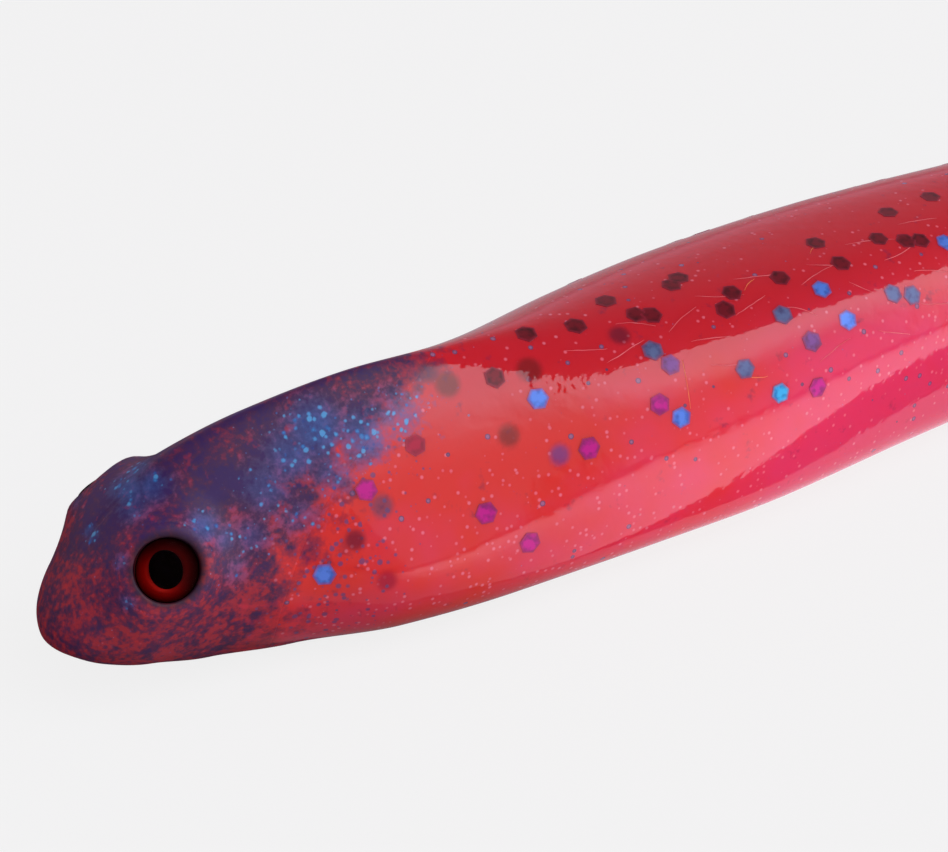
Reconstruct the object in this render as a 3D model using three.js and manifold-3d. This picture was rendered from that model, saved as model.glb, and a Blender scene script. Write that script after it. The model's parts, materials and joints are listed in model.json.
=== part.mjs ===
// A soft plastic fishing worm with a fish-like head, a thick body and a thin swimming tail.
// Millimetres. X runs from the nose to the tail, Z is up and the belly lies on Z = 0.
// The worm is the same on both sides of the plane Y = 0, and X = 0 is half-way along it.
//
// The real worm is one moulding that bends everywhere. Here it is a chain of links with a narrow
// gap at each bend, opened into a V so that the bend can close to its limit, and each eye is a
// foil disc under a clear dome, set in a socket.

import * as THREE from 'three';
import { mergeVertices } from 'three/addons/utils/BufferGeometryUtils.js';
import Module from 'manifold-3d';

const wasm = await Module();
wasm.setup();

// ---- lengths along the worm ---------------------------------------------------------------
const headLength = 30;        // nose to the neck bend
const frontBodyLength = 38;   // neck bend to the back bend
const rearBodyLength = 16;    // back bend to the first tail bend
const tailLength = 43;        // first tail bend to the tip
const napeBack = 16;          // nose to the peak of the nape
const tailLinkNames = ['tail_root', 'tail_wrist', 'tail_blade', 'tail_tip'];

// ---- heights above the belly --------------------------------------------------------------
const noseHeight = 4.3;       // the tip of the nose
const browHeight = 12;        // top of the head over the eyes
const napeHeight = 13.25;     // peak behind the head
const backHeight = 12.25;     // the back over the widest place
const rumpHeight = 10.8;      // the back over the first tail bend
const wristHeight = 7.6;      // thinnest part of the tail
const bladeHeight = 9;        // the blade's upper edge
const bladeFoot = 0.3;        // the blade's lower edge
const wristFoot = 1.3;        // underside of the tail at the wrist
const chinHeight = 0.65;      // underside of the head below the eyes

// ---- widths -------------------------------------------------------------------------------
const snoutWidth = 7.9;       // across the head at the eyes
const napeWidth = 12.3;
const bodyWidth = 15.1;       // the widest place, just behind the neck bend
const waistWidth = 13.1;      // half-way along the worm
const rumpWidth = 10.2;
const wristWidth = 4;
const bladeWidth = 1.9;       // thickness of the swimming blade
const bladeEndWidth = 1.5;    // its thickness where the tip begins to round
const bellyFlatWidth = 3.2;   // flat strip that the worm rests on
const flatStart = 8;          // where the strip begins to open, behind the nose
const flatFull = 22;          // where it reaches its full width

// ---- eyes ---------------------------------------------------------------------------------
const eyeBack = 5.1;          // distance of the eyes behind the nose
const eyeHeight = 8.3;        // height of the eyes above the belly
const eyeForward = 6;         // degrees that each eye looks forwards of straight out
const eyeUpward = 33;         // degrees that each eye looks up
const eyeDiameter = 3;
const foilThickness = 0.15;
const domeHeight = 0.6;
const domeRim = 0.12;         // upright edge of the dome, where it meets the foil
const eyeClearance = 0.08;    // between the socket's wall or floor, the foil and the dome
const socketDepth = 0.85;     // below the top of the mound round the eye
const moundRadius = 3.95;     // the swelling round each eye
const moundHeight = 0.8;

// ---- bends --------------------------------------------------------------------------------
const linkGap = 0.3;          // between two links, on the bend's axis
const neckAngle = 20;         // degrees to each side
const backAngle = 25;         // degrees upwards
const tailAngle = 25;         // degrees to each side, at each tail bend
const backAxisHeight = 5.5;   // height of the back bend's axis

// ---- fineness -----------------------------------------------------------------------------
const pointsRound = 40;       // points round one section
const headStep = 0.8;         // between sections over the head
const bodyStep = 2.6;         // between sections behind it
const eyeSides = 36;
const domeRings = 7;
const endSteps = [0.05, 0.3, 0.7, 1.2];   // sections near the nose and the tip, from each end

const rearStart = headLength + frontBodyLength;
const tailStart = rearStart + rearBodyLength;
const wormLength = tailStart + tailLength;
const noseX = -wormLength / 2;
const wristAt = tailStart + 0.36 * tailLength;
const bladeAt = tailStart + 0.72 * tailLength;
const bladeEndAt = tailStart + 0.92 * tailLength;

// The outline at its turning points: height of the crest and of the underside, half width, and
// the section's shape there. widest is the height of the widest line as a share of the section's
// height, crown is how broad the crest is, and shoulder is how full the side is above that line.
const station = (at, crest, foot, width, crown, shoulder, widest) => (
  { at, crest, foot, half: width / 2, crown, shoulder, widest });
const stations = [
  station(0, noseHeight, noseHeight, 0, 0.5, 0.55, 0.45),
  station(0.6, noseHeight + 1.7, noseHeight - 0.6, 3.8, 0.5, 0.55, 0.45),
  station(2, noseHeight + 3.7, noseHeight - 1.5, 6.3, 0.45, 0.52, 0.45),
  station(4, browHeight - 2, chinHeight + 1.35, snoutWidth, 0.38, 0.49, 0.45),
  station(7, browHeight, chinHeight, snoutWidth, 0.24, 0.44, 0.48),
  station(11, napeHeight - 0.35, 0, snoutWidth + 1.3, 0.19, 0.35, 0.41),
  station(napeBack, napeHeight, 0, napeWidth, 0.11, 0.27, 0.33),
  station(napeBack + 6, napeHeight - 0.55, 0, napeWidth + 0.8, 0.22, 0.43, 0.27),
  station(headLength, backHeight, 0, bodyWidth - 0.7, 0.46, 0.69, 0.29),
  station(headLength + 7, backHeight, 0, bodyWidth, 0.56, 0.77, 0.29),
  station(headLength + 17, backHeight - 0.1, 0, bodyWidth - 0.8, 0.63, 0.82, 0.31),
  station(rearStart - 8, backHeight - 0.4, 0, waistWidth, 0.57, 0.75, 0.3),
  station(tailStart - 6, rumpHeight, 0, rumpWidth, 0.57, 0.68, 0.36),
  station(wristAt, wristHeight, wristFoot, wristWidth, 0.56, 0.58, 0.48),
  station(bladeAt, bladeHeight, bladeFoot, bladeWidth, 0.56, 0.56, 0.5),
  station(bladeEndAt, bladeHeight - 1.2, bladeFoot + 1, bladeEndWidth, 0.56, 0.56, 0.5),
  station(wormLength, bladeHeight / 2, bladeHeight / 2, 0, 0.56, 0.56, 0.5),
];

// Distance along the worm on a scale that is stretched at both ends, where the outline turns
// steeply, so that a smooth curve through the stations closes round there.
function stretched(at) {
  return Math.sqrt(at / wormLength) - 0.5 * Math.sqrt(1 - at / wormLength);
}

// Slope at a station of the smooth curve that never swings past its points.
function slopeAt(key, i) {
  const rise = (a) => (stations[a + 1][key] - stations[a][key])
    / (stretched(stations[a + 1].at) - stretched(stations[a].at));
  if (i === 0) return rise(0);
  if (i === stations.length - 1) return rise(i - 1);
  const before = rise(i - 1);
  const after = rise(i);
  if (before * after <= 0) return 0;
  return (2 * before * after) / (before + after);
}

function outline(key, at) {
  let i = 0;
  while (i < stations.length - 2 && at > stations[i + 1].at) i += 1;
  const from = stations[i];
  const to = stations[i + 1];
  const span = stretched(to.at) - stretched(from.at);
  const t = (stretched(at) - stretched(from.at)) / span;
  const startPull = slopeAt(key, i) * span;
  const endPull = slopeAt(key, i + 1) * span;
  const curve = new THREE.CubicBezierCurve(
    new THREE.Vector2(0, from[key]),
    new THREE.Vector2(0, from[key] + startPull / 3),
    new THREE.Vector2(0, to[key] - endPull / 3),
    new THREE.Vector2(0, to[key]),
  );
  return curve.getPoint(t).y;
}

// One half of the section at a distance behind the nose, from the crest round to the middle of
// the belly, as a list of points (across, height).
function halfSection(at, count) {
  const crest = outline('crest', at);
  const foot = outline('foot', at);
  const half = outline('half', at);
  const widestHeight = foot + outline('widest', at) * (crest - foot);
  const opened = THREE.MathUtils.smoothstep(at, flatStart, flatFull);
  const flat = Math.min((bellyFlatWidth / 2) * opened, 0.45 * half);
  const upper = new THREE.CubicBezierCurve(
    new THREE.Vector2(0, crest),
    new THREE.Vector2(outline('crown', at) * half, crest),
    new THREE.Vector2(half, widestHeight + outline('shoulder', at) * (crest - widestHeight)),
    new THREE.Vector2(half, widestHeight),
  );
  const lower = new THREE.CubicBezierCurve(
    new THREE.Vector2(half, widestHeight),
    new THREE.Vector2(half, widestHeight - 0.62 * (widestHeight - foot)),
    new THREE.Vector2(flat + 0.6 * (half - flat), foot),
    new THREE.Vector2(flat, foot),
  );
  const upperCount = Math.round(0.55 * count);
  const above = upper.getPoints(upperCount);
  const below = lower.getPoints(count - upperCount - 1).slice(1);
  return [...above, ...below, new THREE.Vector2(0, foot)];
}

// ---- eyes: place and mound ----------------------------------------------------------------
// How far out the flesh is at a distance behind the nose and a height.
function sideAt(at, height) {
  const points = halfSection(at, 200);
  const miss = (point) => Math.abs(point.y - height);
  return points.reduce((best, point) => (miss(point) < miss(best) ? point : best)).x;
}
const eyeAcross = sideAt(eyeBack, eyeHeight);
const sides = { left: -1, right: 1 };   // its own left and right: it faces -X

function eyeFrame(side) {
  const forward = THREE.MathUtils.degToRad(eyeForward);
  const upward = THREE.MathUtils.degToRad(eyeUpward);
  const look = new THREE.Vector3(
    -Math.sin(forward) * Math.cos(upward), side * Math.cos(forward) * Math.cos(upward), Math.sin(upward));
  const centre = new THREE.Vector3(eyeBack, side * eyeAcross, eyeHeight);
  return { look, centre };
}

// The flesh swells round each eye.
function raiseMounds(point) {
  for (const side of Object.values(sides)) {
    const { look, centre } = eyeFrame(side);
    const offset = point.clone().sub(centre);
    const along = offset.dot(look);
    const aside = Math.sqrt(Math.max(0, offset.lengthSq() - along * along));
    if (aside < moundRadius && point.y * side > 0) {
      const lift = THREE.MathUtils.smoothstep(moundRadius - aside, 0, 0.75 * moundRadius);
      point.addScaledVector(look, moundHeight * lift);
    }
  }
  return point;
}

// ---- the moulding -------------------------------------------------------------------------
function sectionPlaces() {
  const places = [...endSteps];
  for (let at = 2; at < napeBack; at += headStep) places.push(at);
  const last = wormLength - endSteps.at(-1);
  const count = Math.round((last - napeBack) / bodyStep);
  for (let i = 0; i < count; i += 1) places.push(napeBack + (i * (last - napeBack)) / count);
  for (const step of [...endSteps].reverse()) places.push(wormLength - step);
  return places;
}

// A whole section: down the right side from the crest to the belly, and up the left side.
function ringAt(at) {
  const right = halfSection(at, pointsRound / 2).map((p) => new THREE.Vector3(at, p.x, p.y));
  const left = right.slice(1, -1).reverse().map((p) => new THREE.Vector3(at, -p.y, p.z));
  return [...right, ...left].map(raiseMounds);
}

function mouldingGeometry() {
  const rings = sectionPlaces().map(ringAt);
  const corners = [];
  const triangle = (a, b, c) => corners.push(...a.toArray(), ...b.toArray(), ...c.toArray());
  const nose = new THREE.Vector3(0, 0, noseHeight);
  const tip = new THREE.Vector3(wormLength, 0, bladeHeight / 2);
  const count = rings[0].length;
  for (let j = 0; j < count; j += 1) {
    const next = (j + 1) % count;
    triangle(nose, rings[0][j], rings[0][next]);
    triangle(tip, rings.at(-1)[next], rings.at(-1)[j]);
    for (let i = 0; i < rings.length - 1; i += 1) {
      triangle(rings[i][j], rings[i + 1][j], rings[i][next]);
      triangle(rings[i][next], rings[i + 1][j], rings[i + 1][next]);
    }
  }
  const geometry = new THREE.BufferGeometry();
  geometry.setAttribute('position', new THREE.Float32BufferAttribute(corners, 3));
  return geometry;
}

// ---- solids for cutting -------------------------------------------------------------------
function toSolid(geometry) {
  const bare = geometry.clone();
  bare.deleteAttribute('normal');
  bare.deleteAttribute('uv');
  bare.clearGroups();
  const merged = mergeVertices(bare, 1e-4);
  const vertProperties = new Float32Array(merged.attributes.position.array);
  const triVerts = new Uint32Array(merged.index.array);
  return new wasm.Manifold(new wasm.Mesh({ numProp: 3, vertProperties, triVerts }));
}

function toGeometry(solid) {
  const mesh = solid.getMesh();
  const geometry = new THREE.BufferGeometry();
  geometry.setAttribute('position', new THREE.BufferAttribute(mesh.vertProperties, 3));
  geometry.setIndex(new THREE.BufferAttribute(mesh.triVerts, 1));
  geometry.computeVertexNormals();
  return geometry;
}

const reach = bodyWidth + napeHeight;   // further than any point of a section from its middle

function slab(from, to) {
  const box = new THREE.BoxGeometry(to - from, 4 * reach, 4 * reach);
  return toSolid(box.translate((from + to) / 2, 0, 0));
}

// The gap at a bend: linkGap wide on the axis and opening into a V on the side that closes.
// opening is the V's angle on the positive and on the negative side of the axis.
function bendOutline(positive, negative) {
  const near = linkGap / 2;
  const wide = (angle) => near + reach * Math.tan(THREE.MathUtils.degToRad(angle / 2));
  const shape = new THREE.Shape();
  shape.moveTo(near, 0);
  shape.lineTo(wide(positive), reach);
  shape.lineTo(-wide(positive), reach);
  shape.lineTo(-near, 0);
  shape.lineTo(-wide(negative), -reach);
  shape.lineTo(wide(negative), -reach);
  shape.closePath();
  return shape;
}

function sidewaysGap(at, angle) {
  const geometry = new THREE.ExtrudeGeometry(
    bendOutline(angle, angle), { depth: 4 * reach, bevelEnabled: false });
  return toSolid(geometry.translate(at, 0, -2 * reach));
}

function upwardsGap(at, angle) {
  const geometry = new THREE.ExtrudeGeometry(
    bendOutline(angle, 0), { depth: 4 * reach, bevelEnabled: false });
  geometry.rotateX(Math.PI / 2);
  return toSolid(geometry.translate(at, 2 * reach, backAxisHeight));
}

// ---- the eyes' pieces ---------------------------------------------------------------------
// Each is turned about Y, with its underside on Y = 0, and then faces along the eye's look.
function discGeometry(radius, thickness) {
  const profile = [[0, 0], [radius, 0], [radius, thickness], [0, thickness]];
  return new THREE.LatheGeometry(profile.map(([r, h]) => new THREE.Vector2(r, h)), eyeSides);
}

function domeGeometry(radius, height) {
  const profile = [new THREE.Vector2(0, 0), new THREE.Vector2(radius, 0)];
  for (let i = 0; i < domeRings; i += 1) {
    const turn = (i / domeRings) * (Math.PI / 2);
    profile.push(new THREE.Vector2(
      radius * Math.cos(turn), domeRim + (height - domeRim) * Math.sin(turn)));
  }
  profile.push(new THREE.Vector2(0, height));
  return new THREE.LatheGeometry(profile, eyeSides);
}

// Heights along the look, from the flesh under the mound.
const socketFloor = moundHeight - socketDepth;
const foilSeat = socketFloor + eyeClearance;
const domeSeat = foilSeat + foilThickness + eyeClearance;

function placeOnEye(object, side, height) {
  const { look, centre } = eyeFrame(side);
  object.position.copy(centre).addScaledVector(look, height);
  object.quaternion.setFromUnitVectors(new THREE.Vector3(0, 1, 0), look);
  return object;
}

function socketSolid(side) {
  const tool = new THREE.Mesh(discGeometry(eyeDiameter / 2 + eyeClearance, 4 * moundRadius));
  placeOnEye(tool, side, socketFloor).updateMatrixWorld();
  return toSolid(tool.geometry.applyMatrix4(tool.matrixWorld));
}

// ---- materials ----------------------------------------------------------------------------
const material = (color, roughness, metalness) => (
  new THREE.MeshStandardMaterial({ color, roughness, metalness }));
const headPlastic = material('#7a3560', 0.3, 0.1);
const bodyPlastic = material('#dc3a3c', 0.25, 0);
const tailPlastic = material('#e04a52', 0.25, 0);
const irisFoil = material('#8e0c14', 0.3, 0.7);
const clearResin = material('#2a0a10', 0.05, 0);

// ---- assembly -----------------------------------------------------------------------------
const worm = new THREE.Group();
worm.name = 'soft_plastic_worm';
worm.position.x = noseX;

function addPiece(name, geometry, pieceMaterial) {
  const mesh = new THREE.Mesh(geometry, pieceMaterial);
  mesh.name = name;
  worm.add(mesh);
  return mesh;
}

const moulding = toSolid(mouldingGeometry());
const bends = [
  { at: headLength, gap: sidewaysGap(headLength, neckAngle) },
  { at: rearStart, gap: upwardsGap(rearStart, backAngle) },
];
const tailLink = tailLength / tailLinkNames.length;
tailLinkNames.forEach((name, i) => {
  const at = tailStart + i * tailLink;
  bends.push({ at, gap: sidewaysGap(at, tailAngle) });
});

const linkNames = ['head', 'front_body', 'rear_body', ...tailLinkNames];
const ends = [-reach, ...bends.map((bend) => bend.at), wormLength + reach];
linkNames.forEach((name, i) => {
  let link = moulding.intersect(slab(ends[i], ends[i + 1]));
  if (i > 0) link = link.subtract(bends[i - 1].gap);
  if (i < bends.length) link = link.subtract(bends[i].gap);
  let plastic = bodyPlastic;
  if (name === 'head') {
    plastic = headPlastic;
    for (const side of Object.values(sides)) link = link.subtract(socketSolid(side));
  } else if (tailLinkNames.includes(name)) {
    plastic = tailPlastic;
  }
  addPiece(name, toGeometry(link), plastic);
});

for (const [sideName, side] of Object.entries(sides)) {
  const foil = addPiece(`eye_foil_${sideName}`, discGeometry(eyeDiameter / 2, foilThickness), irisFoil);
  placeOnEye(foil, side, foilSeat);
  const dome = addPiece(`eye_dome_${sideName}`, domeGeometry(eyeDiameter / 2, domeHeight), clearResin);
  placeOnEye(dome, side, domeSeat);
}

export default worm;
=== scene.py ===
"""A soft plastic fishing worm: the looks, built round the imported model.

The body is one moulding of soft translucent plastisol with glitter cut from coloured foil, a blue
speckle sprayed on its head, and two domed eyes set in sockets. Shapes are worked out in worm
millimetres, at (distance behind the nose), across (to its right) and height (above the belly), and
turned to metres in the model's frame at the end.
"""

import json
import math

import bpy
import numpy as np
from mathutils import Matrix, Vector


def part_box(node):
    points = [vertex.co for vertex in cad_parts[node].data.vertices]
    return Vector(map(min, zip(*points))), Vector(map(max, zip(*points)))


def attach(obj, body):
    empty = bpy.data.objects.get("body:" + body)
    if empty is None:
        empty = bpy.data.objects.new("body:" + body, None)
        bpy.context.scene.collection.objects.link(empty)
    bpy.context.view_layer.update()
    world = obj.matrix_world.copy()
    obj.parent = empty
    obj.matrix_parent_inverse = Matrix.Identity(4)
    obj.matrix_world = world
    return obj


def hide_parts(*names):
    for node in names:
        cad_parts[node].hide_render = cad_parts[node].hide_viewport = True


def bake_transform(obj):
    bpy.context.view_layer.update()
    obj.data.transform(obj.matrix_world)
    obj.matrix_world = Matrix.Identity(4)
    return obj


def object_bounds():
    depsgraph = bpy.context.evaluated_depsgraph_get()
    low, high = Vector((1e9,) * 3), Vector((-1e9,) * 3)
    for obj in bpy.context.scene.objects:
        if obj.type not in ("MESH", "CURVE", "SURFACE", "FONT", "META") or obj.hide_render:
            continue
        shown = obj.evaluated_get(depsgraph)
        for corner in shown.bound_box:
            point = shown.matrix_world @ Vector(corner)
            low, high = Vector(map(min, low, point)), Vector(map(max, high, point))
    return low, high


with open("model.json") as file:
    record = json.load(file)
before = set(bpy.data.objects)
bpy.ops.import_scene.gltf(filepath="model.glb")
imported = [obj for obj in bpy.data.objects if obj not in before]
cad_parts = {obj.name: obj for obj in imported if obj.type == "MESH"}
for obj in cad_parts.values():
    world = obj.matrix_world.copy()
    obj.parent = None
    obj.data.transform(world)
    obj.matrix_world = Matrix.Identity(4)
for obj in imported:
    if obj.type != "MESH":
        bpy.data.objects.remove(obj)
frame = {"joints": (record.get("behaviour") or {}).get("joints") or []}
cad_low, cad_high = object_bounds()

MM = 0.001
WORM_LENGTH = (cad_high.x - cad_low.x) / MM
WORM_ORIGIN = np.array([cad_low.x, 0.0, cad_low.z])     # in metres: under the tip of the nose
BODY_HEIGHT = 13.0
RNG = np.random.default_rng(7)

# ---- the moulding's outline, in worm millimetres ------------------------------------------
BENDS = [(joint["pos_m"][0] - cad_low.x) / MM for joint in frame["joints"]]
NECK_BEND, BACK_BEND = BENDS[0], BENDS[1]
TAIL_BEND = BENDS[2]
TAIL_LENGTH = WORM_LENGTH - TAIL_BEND
NOSE_HEIGHT = 4.3
NAPE_BACK = 16.0
BELLY_FLAT = 3.2
FLAT_START, FLAT_FULL = 8.0, 22.0

# at, crest, foot, half width, then the section's shape: how broad the crown is, how full the
# shoulder is, and the height of the widest line as a share of the section's height.
STATIONS = np.array([
    (0, NOSE_HEIGHT, NOSE_HEIGHT, 0, 0.5, 0.55, 0.45),
    (0.6, 6.0, 3.7, 1.9, 0.5, 0.55, 0.45),
    (2, 8.0, 2.8, 3.15, 0.45, 0.52, 0.45),
    (4, 10.0, 2.0, 3.95, 0.38, 0.49, 0.45),
    (7, 12.0, 0.65, 3.95, 0.24, 0.44, 0.48),
    (11, 12.9, 0, 4.6, 0.19, 0.35, 0.41),
    (NAPE_BACK, 13.25, 0, 6.15, 0.11, 0.27, 0.33),
    (NAPE_BACK + 6, 12.7, 0, 6.55, 0.22, 0.43, 0.27),
    (NECK_BEND, 12.25, 0, 7.2, 0.46, 0.69, 0.29),
    (NECK_BEND + 7, 12.25, 0, 7.55, 0.56, 0.77, 0.29),
    (NECK_BEND + 17, 12.15, 0, 7.15, 0.63, 0.82, 0.31),
    (BACK_BEND - 8, 11.85, 0, 6.55, 0.57, 0.75, 0.3),
    (TAIL_BEND - 6, 10.8, 0, 5.1, 0.57, 0.68, 0.36),
    (TAIL_BEND + 0.36 * TAIL_LENGTH, 7.6, 1.3, 2.0, 0.56, 0.58, 0.48),
    (TAIL_BEND + 0.72 * TAIL_LENGTH, 9.0, 0.3, 0.95, 0.56, 0.56, 0.5),
    (TAIL_BEND + 0.92 * TAIL_LENGTH, 7.8, 1.3, 0.75, 0.56, 0.56, 0.5),
    (WORM_LENGTH, 4.5, 4.5, 0, 0.56, 0.56, 0.5),
])
CREST, FOOT, HALF, CROWN, SHOULDER, WIDEST = range(1, 7)
TO_WIDEST = 0.55     # how much of the way from crest to belly is above the widest line

# ---- eyes ---------------------------------------------------------------------------------
EYE_RADIUS = 1.5
EYE_FORWARD, EYE_UPWARD = math.radians(6), math.radians(33)
EYE_SIDES = {"left": -1, "right": 1}
MOUND_RADIUS, MOUND_HEIGHT = 3.95, 0.8
RIM_RADIUS, RIM_HEIGHT, RIM_WIDTH = 1.95, 0.16, 0.45     # the soft rim on a mound, round its eye
LIP_RADIUS, LIP_DROP = 2.12, 0.9      # inside this the head's skin drops under the eye's own lip
SOCKET_DEPTH = 0.85
FOIL_GAP, FOIL_MIDDLE = 0.08, 0.155   # the foil's back and middle over the socket's floor
FOIL_BACK = MOUND_HEIGHT - SOCKET_DEPTH + FOIL_GAP
DISC_RADIUS = EYE_RADIUS * 0.97       # an eye's parts, a little smaller than their socket
DISC_EDGE = 0.47                      # height of the foil's edge, which the dome sits on

# ---- the spray: blots as (at, across, height, radius, strength), the same on both sides -----
# The azure blots lie where the metallic blue spray catches the window's light: real azure paint
# with a painted highlight in it.
AZURE_AND_HIGHLIGHT_PASSES = [
    (5.0, 0.2, 10.9, 1.1, 0.52), (5.7, 0.7, 11.1, 1.1, 0.48), (4.8, 0.8, 10.5, 1.1, 0.42),
    (3.0, 0.3, 9.1, 0.45, 0.42), (7.2, 3.0, 9.8, 1.0, 0.5), (8.0, 3.4, 9.0, 0.9, 0.4),
    (6.0, 3.6, 9.7, 0.6, 0.38), (3.4, 2.5, 9.0, 0.6, 0.34), (3.1, 3.5, 7.6, 0.6, 0.4),
    (13.6, 1.6, 11.8, 1.7, 0.52), (12.2, 1.9, 11.1, 1.6, 0.45), (15.8, 2.3, 11.0, 1.8, 0.48),
    (17.8, 2.0, 11.4, 1.6, 0.4), (10.6, 2.5, 10.2, 1.6, 0.4), (13.8, 3.0, 10.1, 1.4, 0.4),
    (9.2, 3.4, 8.6, 1.2, 0.36), (8.2, 3.9, 7.6, 1.1, 0.3), (11.6, 3.4, 8.9, 1.2, 0.32),
]
NAVY_PASSES = [
    (9.1, 1.9, 10.9, 0.9, 1.0), (8.4, 2.2, 10.5, 0.7, 0.9), (3.4, 0.0, 9.6, 1.6, 0.8),
    (7.0, 1.2, 11.3, 1.2, 0.5), (10.6, 1.5, 11.6, 1.0, 0.6), (5.4, 2.4, 10.2, 0.8, 0.6),
    (14.0, 0.0, 13.1, 3.0, 0.35), (11.0, 0.0, 12.8, 2.5, 0.5),
]
# Glitter that sank deeper: colour, at, degrees down from the crest (less than 0 to the left),
# and radius.
SUNK_FLAKES = [
    ("#7c1030", 13.8, -68, 0.45), ("#b01038", 14.8, -92, 0.45), ("#7a3c84", 24.7, -61, 0.46),
    ("#8c2a24", 22.6, -44, 0.5), ("#84405a", 15.5, -56, 0.5), ("#7c2018", 20.6, -14, 0.6),
    ("#6c2040", 20.0, -8, 0.5), ("#8c1c20", 24.8, -20, 0.6), ("#7a1830", 30.0, -20, 0.5),
]

# ---- skins: each reaches from one seam to the next, over one joint ------------------------
LINKS = ["head", "front_body", "rear_body", "tail_root", "tail_wrist", "tail_blade", "tail_tip"]
SEAMS = [0.0, BACK_BEND - 7.2, *((a + b) / 2 for a, b in zip(BENDS[1:], BENDS[2:])), WORM_LENGTH]
HEAD_SIDES, BODY_SIDES = 240, 140             # points in a ring of the first skin and of the others
SOFTEST = 0.8                                 # share of the light that sinks in, at most
END_INSET = 0.004                             # the first and last rings stop this far from the ends
# How far apart a skin's rings are, up to each distance behind the nose.
RING_STEPS = [(9.5, 0.13), (16, 0.16), (55, 0.2), (math.inf, 0.4)]


def metres(points):
    """Worm millimetres to metres in the model's frame."""
    return np.asarray(points, float) * MM + WORM_ORIGIN


def smooth(value, low, high):
    t = np.clip((value - low) / (high - low), 0, 1)
    return t * t * (3 - 2 * t)


def stretched(at):
    """Distance behind the nose on a scale stretched at both ends, where the outline is steep."""
    share = np.clip(np.asarray(at, float) / WORM_LENGTH, 0, 1)
    return np.sqrt(share) - 0.5 * np.sqrt(1 - share)


def outline(column, at):
    """A smooth curve through one column of the stations that never swings past its points."""
    x, y = stretched(STATIONS[:, 0]), STATIONS[:, column]
    step = np.diff(x)
    rise = np.diff(y) / step
    before, after = rise[:-1], rise[1:]
    turning = before * after <= 0
    inner = np.where(turning, 0, 2 * before * after / np.where(turning, 1, before + after))
    slope = np.concatenate([[rise[0]], inner, [rise[-1]]])
    i = np.clip(np.searchsorted(STATIONS[:, 0], at, side="right") - 1, 0, len(step) - 1)
    t = (stretched(at) - x[i]) / step[i]
    return (
        (2 * t**3 - 3 * t**2 + 1) * y[i]
        + (t**3 - 2 * t**2 + t) * step[i] * slope[i]
        + (3 * t**2 - 2 * t**3) * y[i + 1]
        + (t**3 - t**2) * step[i] * slope[i + 1]
    )


def bezier(a, b, c, d, t):
    return (1 - t) ** 3 * a + 3 * (1 - t) ** 2 * t * b + 3 * (1 - t) * t**2 * c + t**3 * d


def eye_place(side):
    """Where an eye sits on the flesh, and the way it looks."""
    low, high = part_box("eye_foil_" + side)
    sign = EYE_SIDES[side]
    look = np.array([
        -math.sin(EYE_FORWARD) * math.cos(EYE_UPWARD),
        sign * math.cos(EYE_FORWARD) * math.cos(EYE_UPWARD),
        math.sin(EYE_UPWARD),
    ])
    foil = (np.array(low + high) / 2 - WORM_ORIGIN) / MM
    return foil - look * (MOUND_HEIGHT - SOCKET_DEPTH + FOIL_MIDDLE), look


EYES = {side: eye_place(side) for side in EYE_SIDES}


def eye_offsets(points, side):
    """How far points lie from an eye's axis; very far for points on the worm's other side."""
    centre, look = EYES[side]
    offset = points - centre
    along = offset @ look
    aside = np.sqrt(np.maximum((offset**2).sum(-1) - along**2, 0))
    return np.where(points[..., 1] * EYE_SIDES[side] > 0, aside, 99.0)


def lid_lift(aside):
    """Height of the flesh round an eye over the head's plain shape: the mound and its soft rim."""
    mound = MOUND_HEIGHT * smooth(MOUND_RADIUS - aside, 0, 0.75 * MOUND_RADIUS)
    return mound + RIM_HEIGHT * np.exp(-(((aside - RIM_RADIUS) / RIM_WIDTH) ** 2))


def sculpt(points):
    """Raises the flesh round each eye and sinks it under the lip of the socket."""
    shaped = points.copy()
    for side, (centre, look) in EYES.items():
        aside = eye_offsets(points, side)
        lift = lid_lift(aside) - LIP_DROP * smooth(LIP_RADIUS - aside, 0, 0.5)
        shaped += np.where(aside < MOUND_RADIUS, lift, 0)[..., None] * look
    return shaped


def section(at, share):
    """Points of the plain moulding. share runs from 0 on the crest down the right side to 0.5 under
    the belly, and on up the left side to 1."""
    at, share = np.broadcast_arrays(np.asarray(at, float), np.asarray(share, float))
    crest, foot, half = outline(CREST, at), outline(FOOT, at), outline(HALF, at)
    widest = foot + outline(WIDEST, at) * (crest - foot)
    flat = np.minimum(BELLY_FLAT / 2 * smooth(at, FLAT_START, FLAT_FULL), 0.45 * half)
    way = np.where(share <= 0.5, share, 1 - share) * 2      # 0 at the crest, 1 under the belly
    sign = np.where(share <= 0.5, 1, -1)
    above = np.clip(way / TO_WIDEST, 0, 1)
    below = np.clip((way - TO_WIDEST) / 0.38, 0, 1)
    under = np.clip((way - 0.93) / 0.07, 0, 1)
    across = bezier(0, outline(CROWN, at) * half, half, half, above)
    height = bezier(crest, crest, widest + outline(SHOULDER, at) * (crest - widest), widest, above)
    across_low = bezier(half, half, flat + 0.6 * (half - flat), flat, below) * (1 - under)
    height_low = bezier(widest, widest - 0.62 * (widest - foot), foot, foot, below)
    is_above = way <= TO_WIDEST
    return np.stack([
        at,
        sign * np.where(is_above, across, across_low),
        np.where(is_above, height, height_low),
    ], -1)


def flesh(at, share):
    return sculpt(section(at, share))


def flesh_normal(at, share):
    """The outward normal of the flesh, from two short steps over it."""
    ahead = flesh(at + 0.05, share) - flesh(at - 0.05, share)
    around = flesh(at, np.mod(share + 0.004, 1)) - flesh(at, np.mod(share - 0.004, 1))
    normal = np.cross(around, ahead)
    return normal / np.linalg.norm(normal, axis=-1, keepdims=True)


# ---- materials ----------------------------------------------------------------------------
def linear(hex_colour):
    """An sRGB hex colour as linear RGBA."""
    parts = [int(hex_colour[i:i + 2], 16) / 255 for i in (1, 3, 5)]
    return [p / 12.92 if p <= 0.04045 else ((p + 0.055) / 1.055) ** 2.4 for p in parts] + [1.0]


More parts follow.
